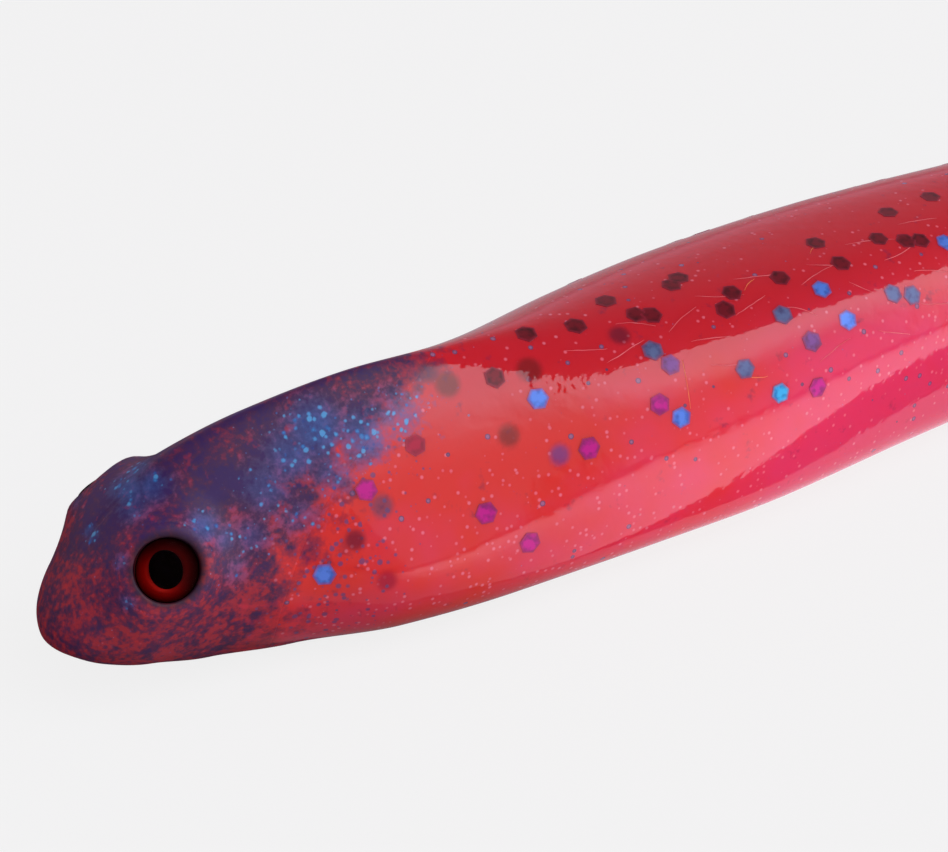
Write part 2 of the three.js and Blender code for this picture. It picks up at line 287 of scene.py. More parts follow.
def new_material(name):
    material = bpy.data.materials.new(name)
    material.use_nodes = True
    tree = material.node_tree
    tree.nodes.clear()
    return material, tree


def add(tree, kind, inputs=None, stops=(), **settings):
    """Adds a shader node. inputs are values or sockets, by name or number, and stops are the
    places and colours of a ramp."""
    node = tree.nodes.new("ShaderNode" + kind)
    for name, value in settings.items():
        setattr(node, name, value)
    for key, value in (inputs or {}).items():
        if isinstance(value, bpy.types.NodeSocket):
            tree.links.new(value, node.inputs[key])
        else:
            node.inputs[key].default_value = value
    for place, (position, colour) in enumerate(stops):
        if place >= len(node.color_ramp.elements):
            node.color_ramp.elements.new(position)
        node.color_ramp.elements[place].position = position
        node.color_ramp.elements[place].color = linear(colour)
    return node


def moulded_plastisol():
    """Soft PVC plastisol, injected and skinned against a polished mould: a deep, slightly cloudy
    red with a wet gloss, and an airbrushed metallic blue speckle that dulls the gloss on the
    head."""
    material, tree = new_material("moulded_plastisol")
    place = add(tree, "Attribute", attribute_name="rest_mm").outputs["Vector"]
    softness = add(tree, "Attribute", attribute_name="softness").outputs["Fac"]
    spray = add(tree, "Attribute", attribute_name="spray").outputs["Vector"]
    haze, azure, navy = add(tree, "SeparateXYZ", {0: spray}).outputs
    cover = add(tree, "Attribute", attribute_name="cover").outputs["Vector"]
    dots, lid_shade, belly_shade = add(tree, "SeparateXYZ", {0: cover}).outputs
    sunk = add(tree, "Attribute", attribute_name="sunk_glitter")
    at, _, height = add(tree, "SeparateXYZ", {0: place}).outputs

    # The red: clouds 9 mm across between orange-red and pink-red, pinker towards the tail and
    # deepest over the back.
    cloud = add(tree, "TexNoise", {"Vector": place, "Scale": 1 / 9, "Detail": 3, "Roughness": 0.6})
    tailward = add(tree, "MapRange", {0: at, 1: 24, 2: 40, 3: -0.16, 4: 0.2})
    toned = add(tree, "Math", {0: cloud.outputs[0], 1: tailward.outputs[0]}, operation="ADD")
    red = add(tree, "ValToRGB", {0: toned.outputs[0]}, stops=((0.36, "#e0342c"), (0.62, "#e23c64")))
    back = add(tree, "MapRange", {0: height, 1: 9.2, 2: 12.0}, interpolation_type="SMOOTHSTEP")
    behind_head = add(tree, "MapRange", {0: at, 1: 14, 2: 21}, interpolation_type="SMOOTHSTEP")
    deep = add(tree, "Math", {0: back.outputs[0], 1: behind_head.outputs[0]}, operation="MULTIPLY")
    plastic = add(tree, "Mix", {0: deep.outputs[0], 6: red.outputs[0], 7: linear("#d2202e")},
                  data_type="RGBA")

    # Pearl dust, 0.2 mm grains that show most on the back, and slate specks, 0.3 mm flakes with a
    # dark cut edge. Then the glitter that sank deeper, which shows through as soft spots.
    grain = add(tree, "TexVoronoi", {"Vector": place, "Scale": 1 / 0.38})
    grain_pick = add(tree, "SeparateColor", {0: grain.outputs["Color"]})
    low_down = add(tree, "MapRange", {0: height, 1: 11.5, 2: 7, 3: 0.74, 4: 0.3})
    grain_rise = add(tree, "MapRange", {
        0: grain_pick.outputs[0], 1: low_down.outputs[0], 2: 1, 3: 0.0, 4: 0.7})
    grain_size = add(tree, "Math", {0: grain_rise.outputs[0], 1: 0.3}, operation="MINIMUM")
    grain_depth = add(tree, "Math", {0: grain_size.outputs[0], 1: grain.outputs["Distance"]},
                      operation="SUBTRACT")
    grain_on = add(tree, "MapRange", {0: grain_depth.outputs[0], 1: 0, 2: 0.18, 3: 0, 4: 0.8})
    speck = add(tree, "TexVoronoi", {"Vector": place, "Scale": 1 / 1.1})
    speck_pick = add(tree, "SeparateColor", {0: speck.outputs["Color"]})
    speck_size = add(tree, "MapRange", {0: speck_pick.outputs[1], 1: 0.4, 2: 0.5, 3: 0.0, 4: 0.13})
    speck_on = add(tree, "Math", {0: speck.outputs["Distance"], 1: speck_size.outputs[0]},
                   operation="LESS_THAN")
    speck_tone = add(tree, "ValToRGB", {0: speck.outputs["Distance"]},
                     stops=((0.07, "#a87094"), (0.11, "#74486e")))
    dusted = add(tree, "Mix", {0: grain_on.outputs[0], 6: plastic.outputs[2], 7: linear("#ee8296")},
                 data_type="RGBA")
    flecked = add(tree, "Mix", {
        0: speck_on.outputs[0], 6: dusted.outputs[2], 7: speck_tone.outputs[0]}, data_type="RGBA")
    flaked = add(tree, "Mix", {
        0: sunk.outputs["Alpha"], 6: flecked.outputs[2], 7: sunk.outputs["Color"]},
        data_type="RGBA")

    # Overspray: a plum haze mottled at 0.3 mm by single droplets and at 1.3 mm by their clusters,
    # bluer high on the head and under the navy passes, and breaking into clumps 1 mm across where
    # it thins out.
    droplet = add(tree, "TexNoise", {
        "Vector": place, "Scale": 1 / 0.3, "Detail": 2, "Roughness": 0.6})
    cluster = add(tree, "TexNoise", {"Vector": place, "Scale": 1 / 1.3, "Detail": 2})
    mottle = add(tree, "Mix", {0: 0.45, 2: droplet.outputs[0], 3: cluster.outputs[0]},
                 data_type="FLOAT")
    redder = add(tree, "MapRange", {0: height, 1: 4, 2: 10, 3: 0.035, 4: -0.03})
    shifted = add(tree, "Math", {0: mottle.outputs[0], 1: redder.outputs[0]}, operation="ADD")
    blued = add(tree, "Math", {0: navy, 1: -0.2, 2: shifted.outputs[0]}, operation="MULTIPLY_ADD")
    plum = add(tree, "ValToRGB", {0: blued.outputs[0]}, stops=(
        (0.30, "#0e1c60"), (0.42, "#322252"), (0.50, "#64244c"), (0.60, "#ac2e3e")))
    clump = add(tree, "TexNoise", {
        "Vector": place, "Scale": 1 / 1.0, "Detail": 3, "Roughness": 0.65})
    reached = add(tree, "Math", {0: clump.outputs[0], 1: 1.9, 2: haze}, operation="MULTIPLY_ADD")
    thick = add(tree, "MapRange", {0: reached.outputs[0], 1: 1.2, 2: 1.75, 3: 0, 4: 0.95})
    hazed = add(tree, "Mix", {0: thick.outputs[0], 6: flaked.outputs[2], 7: plum.outputs[0]},
                data_type="RGBA")

    # Droplets that dried as 0.2 to 0.35 mm beads: single lilac dots where the spray thins out, and
    # azure ones run together in a mist over the azure blots, which are real azure paint with a
    # painted highlight where the metallic spray catches the light.
    bead = add(tree, "TexVoronoi", {"Vector": place, "Scale": 1 / 0.34})
    bead_pick = add(tree, "SeparateColor", {0: bead.outputs["Color"]})
    lone = add(tree, "MapRange", {0: bead_pick.outputs[1], 1: 0.3, 2: 1, 3: 0, 4: 0.75})
    lone_size = add(tree, "Math", {0: lone.outputs[0], 1: dots}, operation="MULTIPLY")
    lone_over = add(tree, "Math", {0: lone_size.outputs[0], 1: bead.outputs["Distance"]},
                    operation="SUBTRACT")
    lone_on = add(tree, "MapRange", {0: lone_over.outputs[0], 1: 0, 2: 0.16, 3: 0, 4: 0.75})
    dotted = add(tree, "Mix", {0: lone_on.outputs[0], 6: hazed.outputs[2], 7: linear("#644c80")},
                 data_type="RGBA")
    azure_and_highlight = add(tree, "Math", {0: azure, 1: 1.3, 2: -0.64}, operation="MULTIPLY_ADD")
    spread = add(tree, "Math", {0: mottle.outputs[0], 1: 1.3, 2: azure_and_highlight.outputs[0]},
                 operation="MULTIPLY_ADD")
    mist = add(tree, "MapRange", {0: spread.outputs[0], 1: 0.22, 2: 0.72, 3: 0, 4: 0.75})
    misted = add(tree, "Mix", {0: mist.outputs[0], 6: dotted.outputs[2], 7: linear("#2760a6")},
                 data_type="RGBA")
    vary = add(tree, "MapRange", {0: bead_pick.outputs[0], 3: 0.45, 4: 1})
    bead_size = add(tree, "Math", {0: spread.outputs[0], 1: vary.outputs[0]}, operation="MULTIPLY")
    bead_over = add(tree, "Math", {0: bead_size.outputs[0], 1: bead.outputs["Distance"]},
                    operation="SUBTRACT")
    bead_on = add(tree, "MapRange", {0: bead_over.outputs[0], 1: 0, 2: 0.2, 3: 0, 4: 0.8})
    shine = add(tree, "Math", {0: bead_over.outputs[0], 1: 1.4, 2: bead_pick.outputs[2]},
                operation="MULTIPLY_ADD")
    bead_tone = add(tree, "ValToRGB", {0: shine.outputs[0]},
                    stops=((0.2, "#1f489c"), (0.6, "#287cc2"), (1.0, "#58aee0")))
    sprayed = add(tree, "Mix", {
        0: bead_on.outputs[0], 6: misted.outputs[2], 7: bead_tone.outputs[0]}, data_type="RGBA")

    # Painted shade: the flesh is darkened round each eye under its lip, and low on the head near
    # the floor.
    lid = add(tree, "Mix", {0: lid_shade, 6: sprayed.outputs[2], 7: linear("#22060e")},
              data_type="RGBA")
    colour = add(tree, "Mix", {0: belly_shade, 6: lid.outputs[2], 7: linear("#5c0c18")},
                 data_type="RGBA")

    # Bare plastic has a wet skin; paint doesn't, and the skin ripples where it shrank in the mould.
    rough = add(tree, "MapRange", {0: haze, 1: 0.2, 2: 0.8, 3: 0.035, 4: 0.5},
                interpolation_type="SMOOTHSTEP")
    metal = add(tree, "Math", {0: bead_on.outputs[0], 1: 0.15}, operation="MULTIPLY")
    wave = add(tree, "TexNoise", {"Vector": place, "Scale": 1 / 0.8, "Detail": 2, "Roughness": 0.5})
    ripple = add(tree, "Bump", {"Height": wave.outputs[0], "Strength": 0.1, "Distance": 0.0002})
    shader = add(tree, "BsdfPrincipled", {
        "Base Color": colour.outputs[2], "Metallic": metal.outputs[0],
        "Roughness": rough.outputs[0], "IOR": 1.53, "Normal": ripple.outputs[0],
        "Subsurface Weight": softness, "Subsurface Radius": (1.0, 0.3, 0.25),
        "Subsurface Scale": 0.0005,
    })
    add(tree, "OutputMaterial", {0: shader.outputs[0]})
    return material


def cut_foil(name, colour, edge):
    """Polyester film, metallised, lacquered in one colour and die-cut into hexagons: a flat bright
    plate under a skin of plastic, which reddens its edge."""
    material, tree = new_material("cut_foil_" + name)
    place = add(tree, "Attribute", attribute_name="rest_mm").outputs["Vector"]
    reach = add(tree, "Attribute", attribute_name="flake_radius").outputs["Fac"]
    film = add(tree, "TexNoise", {"Vector": place, "Scale": 1 / 0.35, "Detail": 2})
    sunk = add(tree, "Math", {0: reach, 1: -0.3, 2: film.outputs[0]}, operation="MULTIPLY_ADD")
    tone = add(tree, "ValToRGB", {0: sunk.outputs[0]}, stops=((0.14, edge), (0.42, colour)))
    rim = add(tree, "MapRange", {0: reach, 1: 0.7, 2: 1.0, 3: 0, 4: 0.6})
    seen = add(tree, "Mix", {0: rim.outputs[0], 6: tone.outputs[0], 7: linear("#b83048")},
               data_type="RGBA")
    shader = add(tree, "BsdfPrincipled", {
        "Base Color": seen.outputs[2], "Metallic": 0.2, "Roughness": 0.3, "IOR": 1.53})
    add(tree, "OutputMaterial", {0: shader.outputs[0]})
    return material


def dyed_fibre(name, dark, light):
    """Chopped nylon thread, dyed, as it stays in the plastic after stirring."""
    material, tree = new_material(name)
    place = add(tree, "Attribute", attribute_name="rest_mm").outputs["Vector"]
    wear = add(tree, "TexNoise", {"Vector": place, "Scale": 1 / 0.8})
    tone = add(tree, "ValToRGB", {0: wear.outputs[0]}, stops=((0.4, dark), (0.6, light)))
    shader = add(tree, "BsdfPrincipled", {
        "Base Color": tone.outputs[0], "Roughness": 0.35, "IOR": 1.53})
    add(tree, "OutputMaterial", {0: shader.outputs[0]})
    return material


# ---- meshes -------------------------------------------------------------------------------
PAINT_KINDS = {1: ("FLOAT", "value"), 3: ("FLOAT_VECTOR", "vector"), 4: ("FLOAT_COLOR", "color")}


def paint(mesh, name, values):
    """Keeps a number, a vector or a colour at each point of a mesh, for its materials to read."""
    values = np.asarray(values, np.float32).reshape(len(mesh.vertices), -1)
    kind, field = PAINT_KINDS[values.shape[1]]
    mesh.attributes.new(name, kind, "POINT").data.foreach_set(field, values.ravel())


def new_piece(name, vertices, faces, materials, face_materials=None):
    """A mesh object from worm millimetres, which keeps each point's place at rest for its
    materials."""
    mesh = bpy.data.meshes.new(name)
    mesh.from_pydata(metres(vertices).tolist(), [], faces)
    for material in materials:
        mesh.materials.append(material)
    if face_materials is not None:
        mesh.polygons.foreach_set("material_index", face_materials)
    mesh.polygons.foreach_set("use_smooth", [True] * len(mesh.polygons))
    paint(mesh, "rest_mm", vertices)
    mesh.update()
    piece = bpy.data.objects.new(name, mesh)
    bpy.context.scene.collection.objects.link(piece)
    return piece


def belong_to(piece):
    """Sets a piece's place in the model's frame into its points."""
    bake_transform(piece)


def bands(rows, sides, base=0, is_inward=False, is_ring=False):
    """The four-sided faces between neighbouring rings of points. is_inward is for rings that run
    clockwise, and is_ring joins the last one to the first."""
    faces = []
    for i in range(rows if is_ring else rows - 1):
        a, b = base + i * sides, base + (i + 1) % rows * sides
        for j in range(sides):
            k = (j + 1) % sides
            face = (a + j, b + j, b + k, a + k) if is_inward else (a + j, a + k, b + k, b + j)
            faces.append(face)
    return faces


def crease(mesh, on_rim):
    """Makes each edge sharp whose two ends are both on a rim."""
    ends = np.zeros(2 * len(mesh.edges), np.int32)
    mesh.edges.foreach_get("vertices", ends)
    is_sharp = on_rim[ends].reshape(-1, 2).all(1)
    mesh.attributes.new("sharp_edge", "BOOLEAN", "EDGE").data.foreach_set("value", is_sharp)


def blots(points, passes):
    """How strongly a list of soft round blots, on both sides alike, covers each point."""
    mirrored = points * (1, -1, 1)
    total = np.zeros(len(points))
    for at, across, height, radius, strength in passes:
        for side in (points, mirrored):
            gap = np.linalg.norm(side - (at, -across, height), axis=1) / radius
            total = np.maximum(total, strength * np.exp(-(gap**2)))
    return total


def paint_skin(mesh, vertices):
    """Gives a skin its spray, with a painted highlight in its azure blots, its painted shade, its
    sunken glitter and its softness to light, which fades out at the seams and round the eyes, where
    one skin ends and the next starts."""
    at, height = vertices[:, 0], vertices[:, 2]
    # The haze reaches 9 mm back low on the head and 20 mm along the crest, and loose dots go on.
    rise = np.clip(height / BODY_HEIGHT, 0, 1)
    haze = 1 - smooth(at - (9 + 11.5 * rise ** 3.5), -3.5, 5)
    dots = 0.95 * (1 - smooth(at - (18 + 6.5 * rise ** 2), -8, 0.5)) * (1 - 0.75 * haze)
    # The spray's second number is the azure blots: real azure paint with a painted highlight where
    # the metallic spray catches the light.
    paint(mesh, "spray", np.stack(
        [haze, blots(vertices, AZURE_AND_HIGHLIGHT_PASSES), blots(vertices, NAVY_PASSES)], -1))
    aside = np.minimum(eye_offsets(vertices, "left"), eye_offsets(vertices, "right"))
    # Painted shade round each eye under its lip, and low on the head near the floor.
    lid_shade = 0.9 * smooth(1.98 - aside, 0, 0.55)
    belly_shade = 0.3 * smooth(1.6 - height, 0, 1.6) * (1 - smooth(at, 18, 30))
    paint(mesh, "cover", np.stack([dots, lid_shade, belly_shade], -1))
    softness = SOFTEST * smooth(aside, 2.2, 3.4)
    for seam in SEAMS[1:-1]:
        softness = np.minimum(softness, SOFTEST * smooth(np.abs(at - seam), 0.2, 2.5))
    paint(mesh, "softness", softness)
    tint = np.tile(np.array([0.3, 0.0, 0.02, 0.0]), (len(vertices), 1))
    for colour, flake_at, degrees, radius in SUNK_FLAKES:
        centre = flesh(flake_at, share_at(flake_at, degrees))
        gap = np.linalg.norm(vertices - centre, axis=1)
        cover = 0.85 * smooth(radius + 0.22 - gap, 0, 0.4)
        found = cover > tint[:, 3]
        tint[found, :3] = linear(colour)[:3]
        tint[:, 3] = np.maximum(tint[:, 3], cover)
    paint(mesh, "sunk_glitter", tint)


def skin_places(start, end):
    """Distances behind the nose of a skin's rings: close together over the head and at the tip."""
    places = [start]
    while places[-1] < end:
        at = places[-1]
        step = next(step for reach, step in RING_STEPS if at < reach)
        if at < 1.5:
            step = 0.012 + 0.07 * math.sqrt(at)
        if WORM_LENGTH - at < 3:
            step = max(0.015, 0.1 * math.sqrt(WORM_LENGTH - at))
        places.append(at + step)
    places[-1] = end
    return np.array(places)


def skin(stretch, material):
    """One stretch of the moulding's surface, closed at both ends."""
    start, end = SEAMS[stretch], SEAMS[stretch + 1]
    sides = HEAD_SIDES if stretch == 0 else BODY_SIDES
    places = skin_places(max(start, END_INSET), min(end, WORM_LENGTH - END_INSET))
    rings = flesh(places[:, None], np.arange(sides) / sides)
    first = rings[0].mean(0) if start > 0 else (0, 0, NOSE_HEIGHT)
    last = rings[-1].mean(0) if end < WORM_LENGTH else (WORM_LENGTH, 0, STATIONS[-1, CREST])
    vertices = np.concatenate([rings.reshape(-1, 3), [first, last]])
    faces = bands(len(places), sides, is_inward=True)
    base = (len(places) - 1) * sides
    for j in range(sides):
        k = (j + 1) % sides
        faces.append((base + sides, j, k))
        faces.append((base + sides + 1, base + k, base + j))
    piece = new_piece("skin_" + LINKS[stretch], vertices, faces, [material])
    paint_skin(piece.data, vertices)
    on_rim = np.zeros(len(vertices), bool)
    on_rim[:sides] = start > 0
    on_rim[base:base + sides] = end < WORM_LENGTH
    crease(piece.data, on_rim)
    belong_to(piece)
    return piece


# ---- glitter ------------------------------------------------------------------------------
FLAKE_COLOURS = {
    "magenta": ("#c80c8c", "#8c0c6c"),
    "crimson": ("#b01038", "#8c1030"),
    "blue": ("#5a8cec", "#3c66c4"),
    "azure": ("#38b8f0", "#1880c4"),
    "slate": ("#5c6c98", "#4a4a78"),
    "violet": ("#7c4890", "#683064"),
    "maroon": ("#7c1020", "#480a14"),
}
FLAKE_NAMES = list(FLAKE_COLOURS)
# How the scattered flakes are shared out among the colours, in the same order.
SCATTER_SHARES = [0.16, 0.1, 0.2, 0.04, 0.14, 0.12, 0.24]
FLAKE_WIDTH = 1.14      # millimetres between corners: 0.040 inch, or 1.0, between flats
FLAKE_THICKNESS = 0.05
FLAKE_LIFT = 0.025      # of its face over the flesh
FLAKE_CORNERS = 7       # the middle and the six corners of one face

# The large flakes that show best on the left side: distance behind the nose, and degrees down
# from the crest, where less than 0 is to the left.
PLACED_FLAKES = {
    "magenta": [(15.0, -45), (20.4, -77), (22.3, -96), (26.2, -62), (39.2, -69), (30.3, -54)],
    "crimson": [(18.0, -33)],
    "blue": [(12.1, -83), (24.6, -33), (31.2, -62), (42.0, -48), (41.5, -32), (50.2, -30)],
    "azure": [(36.9, -66)],
    "slate": [(35.3, -52), (38.6, -37), (46.4, -47), (45.3, -44), (31.1, -32)],
    "violet": [(39.5, -51), (31.6, -40)],
    "maroon": [(49.0, -2), (52.2, 0), (43.5, -7), (31.5, -13), (28.3, -8), (43.6, -23),
               (35.2, 0), (39.9, -20), (30.8, 1), (46.8, -17), (48.1, -23), (48.9, -25),
               (25.7, -4), (23.0, -18), (36.9, -19), (32.2, -16), (34.5, -3), (35.9, -26)],
}
PLACED_TO = 55.0          # how far back those flakes fill the left side and the crest
SCATTER_FROM = 14.0       # the rest are scattered from here to the tip
SCATTER_COUNT = 260
AXIS_HEIGHT = 5.5         # of the point that the degrees from the crest turn about


def share_at(at, degrees):
    """The share round the section that lies at an angle from the crest."""
    shares = np.linspace(0, 1, 721)
    ring = section(at, shares)
    angles = np.degrees(np.arctan2(ring[:, 1], ring[:, 2] - AXIS_HEIGHT))
    gap = np.abs((angles - degrees + 180) % 360 - 180)
    return shares[gap.argmin()]


def flake_list():
    """Every large flake as (at, share, colour number). Thin parts of the worm get fewer."""
    flakes = []
    for name, places in PLACED_FLAKES.items():
        for at, degrees in places:
            flakes.append((at, share_at(at, degrees), FLAKE_NAMES.index(name)))
    at = RNG.uniform(SCATTER_FROM, WORM_LENGTH - 1, 3 * SCATTER_COUNT)
    share = RNG.uniform(0, 1, len(at))
    girth = outline(HALF, at) / outline(HALF, NECK_BEND + 7)
    keep = RNG.uniform(0, 1, len(at)) < girth
    is_free = (at > PLACED_TO) | ((share > 0.12) & (share < 0.46))
    pick = np.where(keep & is_free)[0][:SCATTER_COUNT]
    colours = RNG.choice(len(FLAKE_NAMES), len(pick), p=SCATTER_SHARES)
    return flakes + list(zip(at[pick], share[pick], colours))


def hexagon(at, share):
    """A thin closed hexagonal plate draped over the flesh: its corners and faces."""
    centre = flesh(at, share)
    normal = flesh_normal(at, share)
    per_at = (flesh(at + 0.1, share) - flesh(at - 0.1, share)) / 0.2
    per_share = (flesh(at, (share + 0.005) % 1) - flesh(at, (share - 0.005) % 1)) / 0.01
    turn = RNG.uniform(0, math.pi)
    side = np.cross(normal, (math.cos(turn), math.sin(turn), 0.31))
    side /= np.linalg.norm(side)
    other = np.cross(normal, side)
    length = RNG.uniform(0.94, 1.06)
    angles = np.arange(6) * math.pi / 3
    spokes = side * np.cos(angles)[:, None] * length + other * np.sin(angles)[:, None]
    spokes *= FLAKE_WIDTH / 2
    steps = np.linalg.lstsq(np.stack([per_at, per_share], -1), spokes.T, rcond=None)[0]
    rim = flesh(at + steps[0], (share + steps[1]) % 1)
    face = np.concatenate([[centre], rim]) + normal * FLAKE_LIFT
    corners = np.concatenate([face, face - normal * FLAKE_THICKNESS])
    faces = []
    for k in range(6):
        a, b = 1 + k, 1 + (k + 1) % 6
        under_a, under_b = a + FLAKE_CORNERS, b + FLAKE_CORNERS
        faces += [(0, a, b), (FLAKE_CORNERS, under_b, under_a), (b, a, under_a, under_b)]
    return corners, faces


def glitter(stretch, flakes, materials):
    """The flakes of one stretch of the moulding, as one piece."""
    vertices, faces, face_materials = [], [], []
    for at, share, colour in flakes:
        if not SEAMS[stretch] < at <= SEAMS[stretch + 1]:
            continue
        corners, plate = hexagon(at, share)
        base = len(vertices)
        vertices += list(corners)
        faces += [tuple(base + i for i in face) for face in plate]
        face_materials += [int(colour)] * len(plate)
    if not faces:
        return
    piece = new_piece("glitter_" + LINKS[stretch], vertices, faces, materials, face_materials)
    is_corner = np.arange(len(vertices)) % FLAKE_CORNERS != 0
    crease(piece.data, is_corner)
    paint(piece.data, "flake_radius", is_corner)
    belong_to(piece)


# Threads, as (at, degrees from the crest) at both ends: a few orange ones and many pale ones.
ORANGE_FIBRES = [
    ((32.3, -40), (31.8, -60)), ((37.6, -20), (38.6, -16)), ((50.6, -27), (52.4, -30)),
    ((42.6, -12), (43.6, -9)), ((36.4, -58), (34.9, -54)), ((60.0, 30), (62.0, 38)),
    ((26.0, 42), (27.5, 50)), ((45.0, 60), (46.5, 52)), ((80.0, 35), (82.5, 40)),
]
PALE_FIBRES = [
    ((27.0, -18), (29.0, -24)), ((28.6, -30), (31.0, -26)), ((30.2, -14), (32.0, -22)),
    ((32.4, -27), (34.6, -20)), ((33.2, -34), (35.4, -38)), ((35.0, -14), (37.4, -22)),
    ((36.2, -30), (38.4, -26)), ((37.6, -12), (40.2, -18)), ((38.8, -34), (40.4, -42)),
    ((40.6, -27), (43.0, -23)), ((41.8, -18), (44.0, -26)), ((43.2, -33), (44.2, -41)),
    ((44.8, -14), (47.6, -20)), ((46.0, -29), (48.8, -25)), ((47.2, -38), (49.4, -44)),
    ((48.6, -12), (51.0, -16)), ((50.0, -36), (52.2, -32)), ((39.6, -60), (41.8, -55)),
    ((43.6, -56), (45.6, -62)), ((46.8, -52), (49.6, -56)), ((33.6, -46), (35.2, -50)),
    ((56.0, -30), (58.6, -22)), ((64.0, 20), (66.0, 28)), ((72.0, -40), (74.5, -33)),
]
FIBRE_RADIUS = 0.028
FIBRE_STEPS, FIBRE_SIDES = 14, 6


def fibres(stretch, name, places, material):
    """The threads of one stretch, each a thin closed tube lying half sunk in the flesh."""
    vertices, faces = [], []
    for (at, degrees), (end_at, end_degrees) in places:
        if not SEAMS[stretch] < min(at, end_at) or max(at, end_at) > SEAMS[stretch + 1]:
            continue
        bow = RNG.uniform(-1.5, 1.5)
        spine = []
        for t in np.linspace(0, 1, FIBRE_STEPS):
            turn = degrees + t * (end_degrees - degrees) + bow * math.sin(math.pi * t)
            here = at + t * (end_at - at)
            share = share_at(here, turn)
            spine.append((flesh(here, share), flesh_normal(here, share)))
        points = np.array([p for p, _ in spine])
        points[1:-1] = (points[:-2] + 2 * points[1:-1] + points[2:]) / 4
        ahead = np.gradient(points, axis=0)
        ahead /= np.linalg.norm(ahead, axis=1)[:, None]
        base = len(vertices)
        for i, (_, normal) in enumerate(spine):
            across = np.cross(ahead[i], normal)
            radius = FIBRE_RADIUS * (0.35 + 0.65 * math.sin(math.pi * (i + 0.5) / FIBRE_STEPS))
            for a in 2 * math.pi * np.arange(FIBRE_SIDES) / FIBRE_SIDES:
                out = across * math.cos(a) + normal * (0.4 + math.sin(a))
                vertices.append(points[i] + radius * out)
        faces += bands(FIBRE_STEPS, FIBRE_SIDES, base)
        faces.append(tuple(base + k for k in reversed(range(FIBRE_SIDES))))
        faces.append(tuple(len(vertices) - FIBRE_SIDES + k for k in range(FIBRE_SIDES)))
    if not faces:
        return
    belong_to(new_piece(f"{name}_{LINKS[stretch]}", vertices, faces, [material]))


# ---- eyes ---------------------------------------------------------------------------------
TURNED_SIDES, LID_SIDES = 96, 128
# The parts of an eye, as (radius, height) points. A lip's heights are from the top of its mound.
FOIL_PROFILE = [
    (0, 0), (DISC_RADIUS, 0), (DISC_RADIUS, DISC_EDGE), (1.42, DISC_EDGE), (1.34, 0.4),
    (1.22, 0.32), (1.08, 0.24), (0.9, 0.18), (0.7, 0.15), (0.4, 0.15), (0, 0.15)]
PUPIL_PROFILE = [(0, 0.13), (0.76, 0.13), (0.76, 0.17), (0.7, 0.19), (0.3, 0.2), (0, 0.2)]
PUPIL_TALL = 1.2      # its height as a share of its width
DOME_RISE = 0.26
DOME_PROFILE = [
    (0, 0.21), (0.85, 0.22), (1.2, 0.36), (1.38, DISC_EDGE), (DISC_RADIUS, DISC_EDGE + 0.01),
    *[(DISC_RADIUS * math.cos(a), DISC_EDGE + DOME_RISE * math.sin(a))
      for a in np.radians(np.arange(5, 88, 5))], (0, DISC_EDGE + DOME_RISE)]
LIP_PROFILE = [
    (1.44, -0.75), (1.44, -0.3), (1.45, -0.16), (1.49, -0.06), (1.56, -0.01), (1.66, 0.0),
    (1.78, 0.0), (1.9, 0.0), (2.05, 0.0), (2.15, -0.02), (2.25, -0.08), (2.35, -0.2), (2.35, -0.75)]


def eye_axes(side):
    """Two directions square to an eye's look: forwards along the worm, and down its side."""
    look = EYES[side][1]
    forwards = np.cross(look, np.cross((-1.0, 0, 0), look))
    forwards /= np.linalg.norm(forwards)
    down = np.cross(look, forwards) * -EYE_SIDES[side]
    return forwards, down


def turned_on_eye(side, name, profile, material, tall=1.0):
    """A piece turned round the eye's axis from a profile that starts and ends on it."""
    centre, look = EYES[side]
    forwards, down = eye_axes(side)
    angles = 2 * math.pi * np.arange(TURNED_SIDES) / TURNED_SIDES
    ring = np.cos(angles)[:, None] * forwards + tall * np.sin(angles)[:, None] * down
    if np.cross(ring[0], ring[1]) @ look < 0:
        ring = ring[::-1]
    vertices = [centre + look * (FOIL_BACK + profile[0][1])]
    for radius, height in profile[1:-1]:
        vertices += list(centre + look * (FOIL_BACK + height) + ring * radius)
    vertices.append(centre + look * (FOIL_BACK + profile[-1][1]))
    faces = bands(len(profile) - 2, TURNED_SIDES, 1)
    last = len(vertices) - 1 - TURNED_SIDES
    for j in range(TURNED_SIDES):
        k = (j + 1) % TURNED_SIDES
        faces += [(0, 1 + k, 1 + j), (last + j, last + k, last + TURNED_SIDES)]
    piece = new_piece(f"{name}_{side}", vertices, faces, [material])
    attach(piece, "head")
    return piece


def powers(u, v):
    """The terms of a surface of the fourth degree."""
    return np.stack([u**i * v**j for i in range(5) for j in range(5 - i)], -1)


def eye_lid(side, material):
    """The lip of flesh round an eye, a closed ring that follows the mound and turns down inside."""
    centre, look = EYES[side]
    forwards, down = eye_axes(side)
    patch = section(*np.meshgrid(np.arange(1.5, 9, 0.15), np.arange(0, 1, 0.004))).reshape(-1, 3)
    patch = patch[eye_offsets(patch, side) < 2.7] - centre
    plain_head = np.linalg.lstsq(
        powers(patch @ forwards, patch @ down), patch @ look, rcond=None)[0]
    angles = 2 * math.pi * np.arange(LID_SIDES) / LID_SIDES
    if np.cross(forwards, down) @ look < 0:
        angles = -angles
    vertices = []
    for radius, drop in LIP_PROFILE:
        u, v = radius * np.cos(angles), radius * np.sin(angles)
        height = powers(u, v) @ plain_head + lid_lift(radius) + drop
        vertices.append(centre + u[:, None] * forwards + v[:, None] * down + height[:, None] * look)
    vertices = np.concatenate(vertices)
    faces = bands(len(LIP_PROFILE), LID_SIDES, is_inward=True, is_ring=True)
    piece = new_piece("eye_lid_" + side, vertices, faces, [material])
    paint_skin(piece.data, vertices)
    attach(piece, "head")


